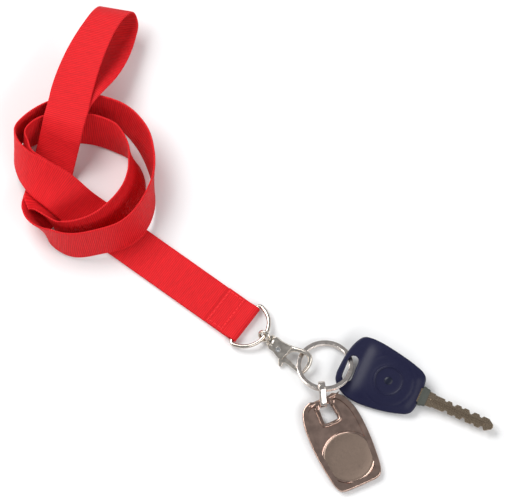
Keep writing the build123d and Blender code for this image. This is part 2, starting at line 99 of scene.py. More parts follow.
def new_mesh(name, vertices, faces):
    mesh = bpy.data.meshes.new(name)
    mesh.from_pydata([tuple(v) for v in vertices], [], [tuple(f) for f in faces])
    mesh.validate()
    mesh.update()
    obj = bpy.data.objects.new(name, mesh)
    bpy.context.scene.collection.objects.link(obj)
    return obj


def baked(obj):
    """The object with its curve or modifiers turned into a plain mesh, its place in the vertices."""
    bpy.context.view_layer.update()
    graph = bpy.context.evaluated_depsgraph_get()
    mesh = bpy.data.meshes.new_from_object(obj.evaluated_get(graph))
    mesh.transform(obj.matrix_world)
    name = obj.name
    bpy.data.objects.remove(obj)
    made = bpy.data.objects.new(name, mesh)
    made.name = name
    mesh.name = name
    bpy.context.scene.collection.objects.link(made)
    return made


def join(name, objs):
    """Several meshes as one piece."""
    vertices, faces, start = [], [], 0
    for o in objs:
        vertices += [tuple(v.co) for v in o.data.vertices]
        faces += [tuple(i + start for i in p.vertices) for p in o.data.polygons]
        start += len(o.data.vertices)
        bpy.data.objects.remove(o)
    return new_mesh(name, vertices, faces)


def closed_curve(points, steps=8):
    """Closed Catmull-Rom curve through 2-D points."""
    p = np.array(points, float)
    n = len(p)
    out = []
    for i in range(n):
        a, b, c, d = p[i - 1], p[i], p[(i + 1) % n], p[(i + 2) % n]
        for k in range(steps):
            t = k / steps
            out.append(0.5 * (2 * b + (c - a) * t + (2 * a - 5 * b + 4 * c - d) * t * t
                              + (3 * b - a - 3 * c + d) * t ** 3))
    return out


def arc(radius, start, stop, steps, centre=(0, 0)):
    angles = np.radians(np.linspace(start, stop, steps))
    return [(centre[0] + radius * math.cos(a), centre[1] + radius * math.sin(a)) for a in angles]


def rounded_section(half_w, half_h, corner):
    """A rectangle with rounded corners, as (across, up) pairs."""
    section = []
    for sx, sy, start in ((1, 1, 0), (-1, 1, 90), (-1, -1, 180), (1, -1, 270)):
        section += arc(corner, start, start + 90, 5, (sx * (half_w - corner), sy * (half_h - corner)))
    return section


def plate(name, place, outlines, thickness, rounding, z=0.0, resolution=4):
    """A flat piece with rounded edges. The first outline is its edge and the rest are holes."""
    curve = bpy.data.curves.new(name, "CURVE")
    curve.dimensions = "2D"
    curve.fill_mode = "BOTH"
    curve.extrude = (thickness / 2 - rounding) * MM
    curve.bevel_depth = rounding * MM
    curve.offset = -rounding * MM
    curve.bevel_resolution = resolution
    for outline in outlines:
        spline = curve.splines.new("POLY")
        spline.points.add(len(outline) - 1)
        for point, (x, y) in zip(spline.points, outline):
            point.co = (x * MM, y * MM, 0, 1)
        spline.use_cyclic_u = True
    obj = bpy.data.objects.new(name, curve)
    bpy.context.scene.collection.objects.link(obj)
    obj.matrix_world = place.matrix(0, 0, z)
    return baked(obj)


def sweep(name, points, section, normals, closed=False):
    """A section (pairs across, up) carried along 3-D points with a given up direction at each."""
    points, normals = np.array(points), np.array(normals)
    if closed:
        along = unit(np.roll(points, -1, 0) - np.roll(points, 1, 0))
    else:
        along = unit(np.gradient(points, axis=0))
    across = unit(np.cross(along, normals))
    up = np.cross(across, along)
    n, m = len(points), len(section)
    vertices = [points[i] + across[i] * a + up[i] * b for i in range(n) for a, b in section]
    faces = []
    for i in range(n if closed else n - 1):
        j = (i + 1) % n
        faces += [(i * m + k, i * m + (k + 1) % m, j * m + (k + 1) % m, j * m + k) for k in range(m)]
    if not closed:
        faces += [tuple(range(m))[::-1], tuple((n - 1) * m + k for k in range(m))]
    return new_mesh(name, np.array(vertices) * MM, faces)


def lathe(name, place, profile, steps=48):
    """A profile of (radius, height) pairs turned about the place's Z."""
    vertices, faces, m = [], [], len(profile)
    for i in range(steps):
        a = 2 * math.pi * i / steps
        vertices += [place.at(r * math.cos(a), r * math.sin(a), h) for r, h in profile]
        j = (i + 1) % steps
        faces += [(i * m + k, j * m + k, j * m + k + 1, i * m + k + 1) for k in range(m - 1)]
    obj = new_mesh(name, np.array(vertices) * MM, faces)
    weld(obj, 1e-6)
    return obj


def weld(obj, distance):
    bm = bmesh.new()
    bm.from_mesh(obj.data)
    bmesh.ops.remove_doubles(bm, verts=bm.verts, dist=distance)
    bmesh.ops.recalc_face_normals(bm, faces=bm.faces)
    bm.to_mesh(obj.data)
    bm.free()


# ---------------------------------------------------------------- materials
def shader(name, colour, roughness, metallic=0.0, coat=0.0, sheen=0.0):
    material = bpy.data.materials.new(name)
    material.use_nodes = True
    nodes, links = material.node_tree.nodes, material.node_tree.links
    surface = nodes["Principled BSDF"]
    surface.inputs["Base Color"].default_value = (*colour, 1)
    surface.inputs["Roughness"].default_value = roughness
    surface.inputs["Metallic"].default_value = metallic
    surface.inputs["Coat Weight"].default_value = coat
    surface.inputs["Sheen Weight"].default_value = sheen
    return material, nodes, links, surface


def noise(nodes, links, coordinates, scale, detail=3.0, stretch=None):
    texture = nodes.new("ShaderNodeTexNoise")
    texture.inputs["Scale"].default_value = scale
    texture.inputs["Detail"].default_value = detail
    if stretch:
        mapping = nodes.new("ShaderNodeMapping")
        mapping.inputs["Scale"].default_value = stretch
        links.new(coordinates, mapping.inputs["Vector"])
        links.new(mapping.outputs["Vector"], texture.inputs["Vector"])
    else:
        links.new(coordinates, texture.inputs["Vector"])
    return texture.outputs["Fac"]


def ramp(nodes, links, value, low, high, start=0.0, stop=1.0):
    """Maps a 0-1 value onto a range of colours or of plain numbers."""
    if isinstance(low, tuple):
        node = nodes.new("ShaderNodeValToRGB")
        node.color_ramp.elements[0].position, node.color_ramp.elements[1].position = start, stop
        node.color_ramp.elements[0].color = (*low, 1)
        node.color_ramp.elements[1].color = (*high, 1)
        links.new(value, node.inputs["Fac"])
        return node.outputs["Color"]
    node = nodes.new("ShaderNodeMapRange")
    for key, number in (("From Min", start), ("From Max", stop), ("To Min", low), ("To Max", high)):
        node.inputs[key].default_value = number
    links.new(value, node.inputs["Value"])
    return node.outputs["Result"]


def bump(nodes, links, surface, height, strength, distance):
    node = nodes.new("ShaderNodeBump")
    node.inputs["Strength"].default_value = strength
    node.inputs["Distance"].default_value = distance
    links.new(height, node.inputs["Height"])
    links.new(node.outputs["Normal"], surface.inputs["Normal"])


def webbing_material():
    material, nodes, links, surface = shader("webbing", (0.72, 0.012, 0.018), 0.7, sheen=0.04)
    surface.inputs["Sheen Roughness"].default_value = 0.5
    surface.inputs["Sheen Tint"].default_value = (1.0, 0.2, 0.2, 1)
    surface.inputs["Specular IOR Level"].default_value = 0.2
    uv = nodes.new("ShaderNodeTexCoord").outputs["UV"]
    place = nodes.new("ShaderNodeSeparateXYZ")
    links.new(uv, place.inputs[0])
    # Cross ribs: the weft, about every 0.9 mm, and warp threads every 0.45 mm. UV is in millimetres.
    ribs = nodes.new("ShaderNodeTexWave")
    ribs.bands_direction = "Y"
    ribs.inputs["Scale"].default_value = 1.0 / RIB_PITCH * 2 * math.pi / 20
    ribs.inputs["Distortion"].default_value = 0.6
    ribs.inputs["Detail Scale"].default_value = 1.0
    links.new(uv, ribs.inputs["Vector"])
    warp = nodes.new("ShaderNodeTexWave")
    warp.bands_direction = "X"
    warp.inputs["Scale"].default_value = 1.0 / 0.5 * 2 * math.pi / 20
    warp.inputs["Distortion"].default_value = 0.4
    links.new(uv, warp.inputs["Vector"])
    blend = nodes.new("ShaderNodeMath")
    blend.operation = "MULTIPLY_ADD"
    blend.inputs[1].default_value = 0.6
    links.new(warp.outputs["Fac"], blend.inputs[0])
    links.new(ribs.outputs["Fac"], blend.inputs[2])
    slubs = noise(nodes, links, uv, 0.5, 5.0, (0.35, 1.6, 1.0))
    # Painted shade: the rib grooves get a darker red than the rib crests, following the rib wave.
    rib_groove_shaded_red = ramp(nodes, links, ribs.outputs["Fac"], (0.58, 0.006, 0.010), (0.80, 0.014, 0.020))
    tint = nodes.new("ShaderNodeMix")
    tint.data_type = "RGBA"
    tint.blend_type = "MULTIPLY"
    tint.inputs["Factor"].default_value = 1.0
    links.new(rib_groove_shaded_red, tint.inputs["A"])
    links.new(ramp(nodes, links, slubs, (0.86, 0.82, 0.82), (1.0, 1.0, 1.0), 0.3, 0.65), tint.inputs["B"])
    links.new(tint.outputs["Result"], surface.inputs["Base Color"])
    links.new(ramp(nodes, links, slubs, 0.55, 0.72), surface.inputs["Roughness"])
    bump(nodes, links, surface, blend.outputs[0], 0.55, 0.00012)
    return material


def metal_material(name, colour, roughness, grain, stretch=None, depth=0.00002):
    material, nodes, links, surface = shader(name, colour, roughness, metallic=1.0)
    here = nodes.new("ShaderNodeTexCoord").outputs["Object"]
    wear = noise(nodes, links, here, grain, 6.0, stretch)
    polish = ramp(nodes, links, wear, roughness * 0.7, roughness * 1.5, 0.3, 0.7)
    links.new(polish, surface.inputs["Roughness"])
    dark = tuple(c * 0.86 for c in colour)
    links.new(ramp(nodes, links, wear, dark, colour, 0.35, 0.6), surface.inputs["Base Color"])
    bump(nodes, links, surface, wear, 0.25, depth)
    return material


def plastic_material(name, colour, roughness, grain, coat=0.0, depth=0.00003):
    material, nodes, links, surface = shader(name, colour, roughness, coat=coat)
    surface.inputs["Coat Roughness"].default_value = 0.25
    surface.inputs["Specular IOR Level"].default_value = 0.3
    here = nodes.new("ShaderNodeTexCoord").outputs["Object"]
    fine = noise(nodes, links, here, grain, 4.0)
    light = tuple(min(1.0, c * 1.25 + 0.003) for c in colour)
    links.new(ramp(nodes, links, fine, colour, light, 0.35, 0.7), surface.inputs["Base Color"])
    links.new(ramp(nodes, links, fine, roughness * 0.85, roughness * 1.2), surface.inputs["Roughness"])
    bump(nodes, links, surface, fine, 0.3, depth)
    return material


webbing = webbing_material()
thread = plastic_material("thread", (0.84, 0.03, 0.035), 0.6, 1800)
nickel = metal_material("nickel", (0.60, 0.54, 0.48), 0.16, 500)
cast_nickel = metal_material("cast_nickel", (0.70, 0.64, 0.57), 0.18, 500, depth=0.000006)
steel = metal_material("steel", (0.66, 0.66, 0.66), 0.24, 900)
ring_steel = metal_material("ring_steel", (0.74, 0.67, 0.62), 0.14, 500)
key_steel = metal_material("key_steel", (0.40, 0.31, 0.22), 0.22, 4000, depth=0.000001)
tag_metal = metal_material("tag_metal", (0.50, 0.35, 0.29), 0.16, 260)
disc_metal = metal_material("disc_metal", (0.27, 0.20, 0.16), 0.42, 4000, depth=0.000001)
navy = plastic_material("navy", (0.004, 0.0045, 0.028), 0.4, 2600)
navy_deep = plastic_material("navy_deep", (0.003, 0.005, 0.018), 0.35, 1500)
bolster_grey = plastic_material("bolster_grey", (0.055, 0.06, 0.05), 0.5, 1800)

# ---------------------------------------------------------------- the strap
STRAP_WIDTH = 20.0
STRAP_THICKNESS = 0.9
LAYER_SPACING = 1.1

# The route of part.py: X, Y, Z in mm, and the lean in degrees (0 on edge, 90 flat).
DOUBLED_TAIL = [
    (-5.4, -36.2, 1.02, 90), (-24.0, -22.4, 1.02, 90), (-38.0, -12.0, 1.02, 90),
    (-51.0, -2.4, 1.02, 90), (-62.8, 6.2, 1.45, 88), (-73.4, 13.0, 3.2, 81),
    (-82.4, 18.4, 7.2, 73), (-91.8, 24.8, 13.8, 68), (-101.4, 31.2, 15.6, 48),
    (-108.0, 38.2, 14.4, 28),
]
OUTER_TURN = [
    (-112.6, 45.4, 12.8, 10), (-112.8, 52.6, 11.0, -6), (-107.6, 58.8, 10.0, -14),
    (-97.5, 64.6, 9.8, -20), (-85.0, 68.4, 9.8, -22), (-72.5, 67.6, 9.8, -21),
    (-61.2, 63.0, 9.8, -20), (-53.0, 53.8, 9.8, -19), (-48.9, 43.6, 9.9, -12),
    (-47.2, 32.6, 10.4, -2), (-48.6, 21.4, 11.4, 12), (-53.4, 11.0, 12.6, 20),
    (-61.6, 3.8, 12.8, 20), (-73.6, 0.0, 12.4, 18), (-85.6, -1.2, 11.2, 15),
    (-95.8, 3.0, 10.8, 2), (-101.6, 8.8, 10.2, -22), (-103.2, 12.4, 8.1, -42),
]
INNER_TURN = [
    (-108.8, 45.6, 12.0, 12), (-108.4, 51.6, 10.8, -4), (-103.4, 56.2, 9.8, -16),
    (-94.6, 58.6, 9.6, -24), (-84.0, 58.4, 9.5, -28), (-74.6, 57.0, 9.5, -27),
    (-66.4, 53.6, 9.5, -22), (-60.2, 47.6, 10.1, -4), (-56.2, 39.6, 9.9, 16),
    (-55.4, 30.8, 10.4, 26), (-58.8, 22.0, 12.0, 27), (-65.0, 14.4, 13.6, 24),
    (-72.8, 8.4, 13.9, 20), (-81.8, 5.2, 12.4, 18), (-90.4, 5.4, 11.0, 12),
    (-94.8, 9.2, 10.6, -6), (-96.4, 12.8, 9.8, -29), (-97.8, 17.0, 7.9, -54),
]
DOUBLED_RISE = [
    (-100.0, 21.0, 5.4, -72), (-98.9, 25.7, 2.8, -80), (-97.2, 32.4, 1.9, -90),
    (-95.4, 39.4, 3.4, -93), (-93.2, 46.4, 9.4, -94), (-91.2, 52.4, 16.4, -94),
    (-89.6, 58.2, 20.8, -92), (-87.8, 64.6, 21.3, -92),
]
LOWER_STRAND = [
    (-85.0, 71.0, 20.7, -93), (-79.4, 78.2, 19.4, -98), (-73.2, 86.0, 14.0, -107),
    (-68.0, 95.4, 8.8, -115), (-64.6, 104.2, 6.8, -120), (-62.9, 112.0, 8.0, -122),
]
UPPER_STRAND = [
    (-86.0, 73.0, 22.0, -95), (-83.0, 83.4, 21.2, -103), (-78.8, 94.8, 20.0, -112),
    (-73.6, 105.6, 18.8, -120), (-68.4, 113.6, 17.2, -123),
]
BIGHT_END = np.array([-64.8, 116.8, 12.8]) - MIDDLE
TAIL_SPREAD = {8: 1.2, 9: 1.7}
RISE_SPREAD = {0: 1.9, 1: 1.5, 2: 1.15}
TAIL_ANGLE = -36.6
BAR = np.array([-3.8, -37.4, 2.0]) - MIDDLE
D_WIRE = 2.0
FLAP_LENGTH = 14.0
FLAP_START = -2.0  # along the tail, from the bar
TAIL_HEIGHT = 1.02


def stations(rows):
    rows = np.array(rows, float)
    centres = rows[:, :3] - MIDDLE
    ends = np.vstack([2 * centres[0] - centres[1], centres, 2 * centres[-1] - centres[-2]])
    along = unit(ends[2:] - ends[:-2])
    side = unit(np.cross(along, UP))
    lean = np.radians(rows[:, 3:4])
    return centres, np.cos(lean) * np.cross(side, along) + np.sin(lean) * side, along


def doubled(rows, side, spread):
    """One layer where two lie together, to one side of their shared middle."""
    centres, widths, along = stations(rows)
    gaps = np.array([side * LAYER_SPACING / 2 * spread.get(i, 1.0) for i in range(len(rows))])
    return centres + np.cross(widths, along) * gaps[:, None], widths


def layer(turn, end, side):
    centres, widths, _ = stations(DOUBLED_TAIL + turn + DOUBLED_RISE + end)
    rise = len(DOUBLED_TAIL) + len(turn)
    for first, part, spread in ((0, DOUBLED_TAIL, TAIL_SPREAD), (rise, DOUBLED_RISE, RISE_SPREAD)):
        last = first + len(part)
        centres[first:last], widths[first:last] = doubled(part, side, spread)
    return centres, widths


def smooth(centres, widths, steps):
    """Centripetal Catmull-Rom through the stations."""
    rows = np.hstack([centres, widths])
    rows = np.vstack([2 * rows[0] - rows[1], rows, 2 * rows[-1] - rows[-2]])
    out = []
    for i in range(len(rows) - 3):
        p = rows[i:i + 4]
        t = np.cumsum([0.0] + [np.linalg.norm(p[k + 1, :3] - p[k, :3]) ** 0.5 for k in range(3)])
        for now in t[1] + (t[2] - t[1]) * np.arange(steps) / steps:
            a = [((t[k + 1] - now) * p[k] + (now - t[k]) * p[k + 1]) / (t[k + 1] - t[k]) for k in range(3)]
            b = [((t[k + 2] - now) * a[k] + (now - t[k]) * a[k + 1]) / (t[k + 2] - t[k]) for k in range(2)]
            out.append(((t[2] - now) * b[0] + (now - t[1]) * b[1]) / (t[2] - t[1]))
    out.append(rows[-2])
    return np.array(out)


def bezier(a, b, c, d, steps):
    t = np.linspace(0, 1, steps)[:, None]
    return ((1 - t) ** 3 * np.array(a) + 3 * t * (1 - t) ** 2 * np.array(b)
            + 3 * t * t * (1 - t) * np.array(c) + t ** 3 * np.array(d))


def fold_line():
    """The sewn end's centre line, as (along the tail, height), from the flap's cut end to the lower layer."""
    radius = D_WIRE / 2 + 0.08 + STRAP_THICKNESS / 2
    flap_z = TAIL_HEIGHT + LAYER_SPACING / 2 + STRAP_THICKNESS + 0.03
    flap = np.array([(x, flap_z) for x in np.linspace(FLAP_START - FLAP_LENGTH, -5.2, 12)])
    slope = bezier((-5.2, flap_z), (-3.2, flap_z), (-2.0, BAR[2] + radius), (0, BAR[2] + radius), 10)[1:]
    turn = np.array([(x, z + BAR[2]) for x, z in arc(radius, 90, -90, 16)])[1:]
    return np.vstack([flap, slope, turn])


outer_c, outer_w = layer(OUTER_TURN, LOWER_STRAND, 1.0)
inner_c, inner_w = layer(INNER_TURN, UPPER_STRAND, -1.0)
main = smooth(
    np.vstack([inner_c, BIGHT_END, outer_c[::-1]]),
    np.vstack([inner_w, unit(inner_w[-1] + outer_w[-1]), outer_w[::-1]]),
    12,
)
tail_along = turned((1, 0, 0), TAIL_ANGLE)
tail_across = turned((0, 1, 0), TAIL_ANGLE)
fold = np.array([np.hstack([BAR * (1, 1, 0) + tail_along * x + UP * z, tail_across]) for x, z in fold_line()])
route = np.vstack([fold, main])


def resampled(rows, spacing):
    steps = np.linalg.norm(np.diff(rows[:, :3], axis=0), axis=1)
    where = np.concatenate([[0], np.cumsum(steps)])
    new = np.linspace(0, where[-1], int(where[-1] / spacing) + 1)
    return np.column_stack([np.interp(new, where, rows[:, k]) for k in range(6)]), new


def build_strap():
    """One ribbon with cross ribs and rounded selvedges, and UV in millimetres."""
    rows, run = resampled(route, 0.3)
    for _ in range(6):  # takes the corners out of the straight interpolation
        rows[1:-1] = (rows[:-2] + 2 * rows[1:-1] + rows[2:]) / 4
    centre = rows[:, :3]
    along = unit(np.gradient(centre, axis=0))
    across = rows[:, 3:]
    across = unit(across - along * (across * along).sum(1, keepdims=True))
    normal = np.cross(along, across)
    half_w, half_t = STRAP_WIDTH / 2, STRAP_THICKNESS / 2
    top = [(-1 + 2 * k / 16) for k in range(17)]
    section = [(x * (half_w - 0.45), half_t) for x in top]
    edge = [(half_w - 0.45 + 0.45 * math.cos(a), half_t * math.sin(a))
            for a in np.radians([60, 30, 0, -30, -60])]
    section = section + edge + [(x, -y) for x, y in section[::-1]] + [(-x, y) for x, y in edge[::-1]]
    section = np.array(section)
    ribs = 0.05 * np.sin(2 * math.pi * run / RIB_PITCH)
    inner = np.clip((half_w - 0.8 - np.abs(section[:, 0])) / 0.6, 0, 1)
    selvedge = 0.05 * np.exp(-((np.abs(section[:, 0]) - (half_w - 1.3)) / 0.35) ** 2)
    heights = section[:, 1][None] + np.sign(section[:, 1])[None] * (
        ribs[:, None] * inner[None] - selvedge[None])
    points = (centre[:, None] + across[:, None] * section[None, :, :1] + normal[:, None] * heights[..., None])
    n, m = heights.shape
    vertices = points.reshape(-1, 3) * MM
    index = np.arange(n * m).reshape(n, m)
    around = np.roll(index, -1, 1)
    faces = np.stack([index[:-1], around[:-1], around[1:], index[1:]], -1).reshape(-1, 4)
    mesh = bpy.data.meshes.new("strap")
    mesh.from_pydata(vertices.tolist(), [], faces.tolist() + [index[0][::-1].tolist(), index[-1].tolist()])
    mesh.update()
    uv = mesh.uv_layers.new(name="ribbon")
    flat = np.zeros((len(mesh.loops), 2), np.float32)
    loops = np.zeros(len(mesh.loops), np.int32)
    mesh.loops.foreach_get("vertex_index", loops)
    flat[:, 0] = section[loops % m, 0]
    flat[:, 1] = run[loops // m]
    uv.data.foreach_set("uv", flat.ravel())
    obj = bpy.data.objects.new("strap", mesh)
    bpy.context.scene.collection.objects.link(obj)
    return obj, run[-1]


strap, strap_length = build_strap()
finished(strap, webbing, "strap", [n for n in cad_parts
                                              if n.startswith("strap_") and n != "strap_stitches"], 60)


def build_stitches():
    """Lock-stitches on the flap: two rows across and one up each edge, each a small raised loop."""
    top = TAIL_HEIGHT + LAYER_SPACING / 2 + STRAP_THICKNESS * 1.5 + 0.03
    middle = FLAP_START - FLAP_LENGTH + 5.0
    made = []

    def stitch(x, y, lengthwise):
        size = 1.7
        t = np.linspace(-1, 1, 7)
        run = [(x + (k * size / 2 if lengthwise else 0), y + (0 if lengthwise else k * size / 2)) for k in t]
        points = [BAR * (1, 1, 0) + tail_along * a + tail_across * b
                  + UP * (top + 0.02 + 0.17 * (1 - k * k)) for (a, b), k in zip(run, t)]
        circle = [(0.2 * math.cos(a), 0.2 * math.sin(a)) for a in np.radians(range(0, 360, 60))]
        made.append(sweep("stitch", points, circle, [UP] * 7))

    for x in (middle - 4.0, middle + 4.0):
        for k in range(8):
            stitch(x, (k - 3.5) * 2.4, False)
    for y in (-8.6, 8.6):
        for k in range(3):
            stitch(middle + (k - 1) * 2.4, y, True)
    return join("strap_thread", made)


finished(build_stitches(), thread, "strap", ["strap_stitches"])

# ---------------------------------------------------------------- the D-ring
BOW_RADIUS = 11.6
CORNER = 1.6
BOW_TILT = 7.3
tilt = math.radians(BOW_TILT)
d_place = Place(BAR, tail_along * math.cos(tilt) + UP * math.sin(tilt),
                -tail_along * math.sin(tilt) + UP * math.cos(tilt))


def round_section(radius, steps=20):
    angles = np.linspace(0, 2 * math.pi, steps, endpoint=False)
    return [(radius * math.cos(a), radius * math.sin(a)) for a in angles]


def build_d_ring():
    y = math.sqrt((BOW_RADIUS - CORNER) ** 2 - CORNER ** 2)
    turn = math.degrees(math.atan2(y, CORNER))
    bar = [(0, v) for v in np.linspace(-y, y, 10)][:-1]
    bend = arc(CORNER, 180, turn, 10, (CORNER, y))[:-1]
    bow = arc(BOW_RADIUS, turn, -turn, 60)[:-1]
    back = arc(CORNER, -turn, -180, 10, (CORNER, -y))[:-1]
    points = [d_place.at(a, b) for a, b in bar + bend + bow + back]
    return sweep("d_ring_wire", points, round_section(D_WIRE / 2, 24), [d_place.z] * len(points), True)


finished(build_d_ring(), nickel, "d_ring", ["d_ring"], 60)

# ---------------------------------------------------------------- the clasp
CLASP_ANGLE = -35.5
CLASP_RISE = 1.5
CLASP_ROLL = 22.0
EYE_ROLL = 58.0
EYE_X = 11.5
PIN = (20.9, -1.4)
rise = math.radians(CLASP_RISE)
clasp_x = turned((math.cos(rise), 0, math.sin(rise)), CLASP_ANGLE)
clasp_y = turned((0, 1, 0), CLASP_ANGLE)
clasp_o = BAR * (1, 1, 0) + UP * (BAR[2] + BOW_RADIUS * math.sin(tilt) - EYE_X * math.sin(rise))


def clasp_place(roll):
    a = math.radians(roll)
    return Place(clasp_o, clasp_x, np.cross(clasp_x, clasp_y) * math.cos(a) - clasp_y * math.sin(a))


def along_place(x):
    """A place on the clasp's axis whose Z runs along it."""
    return Place(clasp_o + clasp_x * x, eye_place.y, clasp_x)


eye_place = clasp_place(EYE_ROLL)
hook_place = clasp_place(CLASP_ROLL)


def build_eye():
    ring = [eye_place.at(EYE_X + 2.5 * math.cos(a), 2.5 * math.sin(a))
            for a in np.linspace(0, 2 * math.pi, 56, endpoint=False)]
    loop = sweep("loop", ring, round_section(0.8), [eye_place.z] * len(ring), True)
    profile = [(0, 14.0), (1.3, 14.0), (1.5, 14.15), (2.1, 14.35), (2.8, 14.5), (3.0, 14.65), (3.0, 14.95),
               (2.75, 15.1), (2.75, 15.2), (3.0, 15.32), (3.0, 15.55), (2.85, 15.7), (0.9, 15.7), (0.9, 17.2),
               (1.1, 17.2), (1.2, 17.3), (1.2, 17.8), (1.0, 17.9), (0, 17.9)]
    collar = lathe("collar", along_place(0), profile)
    return join("swivel_eye_casting", [loop, collar])


finished(build_eye(), cast_nickel, "swivel_eye", ["swivel_eye"], 40)

HOOK_OUTLINE = [
    (16.0, -3.0), (19.5, -3.7), (22.0, -4.6), (24.6, -4.8), (25.4, -3.0), (26.4, 0.2),
    (28.2, 2.0), (31.0, 3.1), (33.6, 3.4), (35.4, 2.4), (36.1, 0.4), (36.1, -2.6), (35.9, -4.2),
    (36.7, -4.9), (37.5, -4.2), (38.1, -1.6), (38.0, 1.4), (36.9, 4.0), (34.8, 5.4), (32.0, 5.5),
    (28.6, 4.6), (25.0, 3.5), (20.5, 2.9), (16.0, 2.6),
]


def build_hook():
    """Two cheeks over the lever's slot, the rounded loop and a collar where the swivel enters."""
    outline = closed_curve(HOOK_OUTLINE, 6)
    loop = plate("loop", hook_place, [outline], 2.4, 0.9)
    cheek = closed_curve([(16.0, -3.0), (19.5, -3.6), (22.0, -4.5), (24.4, -4.7), (25.2, -2.6),
                          (25.6, 0.6), (25.8, 3.4), (23.0, 3.1), (20.0, 2.8), (16.0, 2.6)], 6)
    cheeks = [plate("cheek", hook_place, [cheek], 0.62, 0.25, z) for z in (1.36, -1.36)]
    neck = lathe("neck", along_place(0), [(1.0, 16.0), (2.5, 16.0), (2.75, 16.15), (2.75, 16.5), (2.55, 16.7),
                                          (2.3, 17.6), (1.3, 17.6), (1.0, 17.0), (1.0, 16.0)])
    return join("hook_casting", [loop, *cheeks, neck])


finished(build_hook(), cast_nickel, "hook", ["hook_body"], 40)

LEVER_OUTLINE = [
    (19.2, -2.6), (18.9, -1.2), (19.7, 0.3), (21.2, 0.7), (22.6, 0.0), (24.4, -1.9), (27.0, -2.6),
    (31.0, -3.4), (34.6, -4.2), (35.2, -4.8), (34.8, -5.4), (31.0, -5.2), (27.2, -5.0), (26.2, -5.6),
    (26.5, -6.9), (25.9, -7.9),
    (24.9, -7.8), (23.9, -6.3), (23.0, -5.0), (21.0, -3.9),
]


def build_lever():
    return plate("lever_gate", hook_place, [closed_curve(LEVER_OUTLINE, 6)], 1.4, 0.45, -0.1)


finished(build_lever(), cast_nickel, "lever", ["lever"], 40)


def build_pin():
    place = Place(hook_place.at(*PIN), hook_place.x, hook_place.z)
    h = 1.7
    head = [(0.0, h + 0.1), (0.5, h + 0.12), (0.9, h + 0.22), (1.2, h + 0.2), (1.28, h)]
    return lathe("lever_rivet", place, head + [(0.8, h), (0.8, -h)] + [(r, -z) for r, z in head[::-1]])


finished(build_pin(), steel, "hook", ["lever_pin"], 40)


def build_spring():
    place = Place(hook_place.at(*PIN), hook_place.x, hook_place.z)
    turns = 2.2
    points = [place.at(1.2 * math.cos(a), 1.2 * math.sin(a), -0.15 + 0.374 * a / (2 * math.pi))
              for a in np.linspace(0, turns * 2 * math.pi, 70)]
    return sweep("lever_coil", points, round_section(0.17, 8), [place.z] * 70)


finished(build_spring(), steel, "hook", ["lever_spring"], 60)

# ---------------------------------------------------------------- the split ring
RING = np.array([34.3, -59.0, 4.05]) - MIDDLE
RING_RADIUS = 12.4
RING_TILT = math.radians(12.0)
ring_place = Place(RING, (1, 0, 0), (0, math.sin(RING_TILT), math.cos(RING_TILT)))


def build_split_ring():
    """Flattened wire wound twice, rising from one turn to the other over a short step."""
    section = rounded_section(1.1, 0.485, 0.26)
    points = []
    first, last = math.radians(30), math.radians(30 + 716)
    for a in np.linspace(first, last, 260):
        step = np.clip((a - first - math.radians(352)) / math.radians(14), 0, 1)
        height = -0.505 + 1.01 * step * step * (3 - 2 * step)
        points.append(ring_place.at(RING_RADIUS * math.cos(a), RING_RADIUS * math.sin(a), height))
    return sweep("split_ring_wire", points, section, [ring_place.z] * len(points))


finished(build_split_ring(), ring_steel, "split_ring", ["split_ring"], 40)


# ---------------------------------------------------------------- the key
def tipped_place(origin, angle, pitch, roll=0.0):
    down, lean = math.radians(pitch), math.radians(roll)
    x = turned((math.cos(down), 0, -math.sin(down)), angle)
    y = turned((0, 1, 0), angle)
    return Place(origin, x, np.cross(x, y) * math.cos(lean) - y * math.sin(lean))


key_place = tipped_place(np.array([62.5, -65.9, 4.85]) - MIDDLE, -24.7, 1.0, 12.0)
KEY_OUTLINE = [
    (-22.2, -3.5), (-21.7, 3.0), (-20.3, 9.2), (-17.6, 14.0), (-13.5, 15.4), (-6.2, 15.2), (5.0, 13.4),
    (12.0, 11.7), (15.8, 10.2), (18.0, 7.4), (18.8, 0.0), (18.4, -7.4), (16.4, -10.6), (12.0, -12.4),
    (5.9, -14.0), (-2.0, -15.2), (-8.5, -15.5), (-14.0, -14.7), (-18.2, -12.7), (-21.0, -10.0),
    (-22.1, -7.0),
]
KEY_CENTRE = (2.0, 0.0)
KEY_EDGE = 2.0


def key_slot():
    """The slanted slot for the ring."""
    turn = math.radians(92)
    ends = []
    for side in (1, -1):
        middle = (4.0 * side * math.cos(turn), 4.0 * side * math.sin(turn))
        ends += arc(2.4, 92 - 90 * side, 92 - 90 * side + 180, 9, middle)
    return [(x - 17.0, y - 1.9) for x, y in ends]


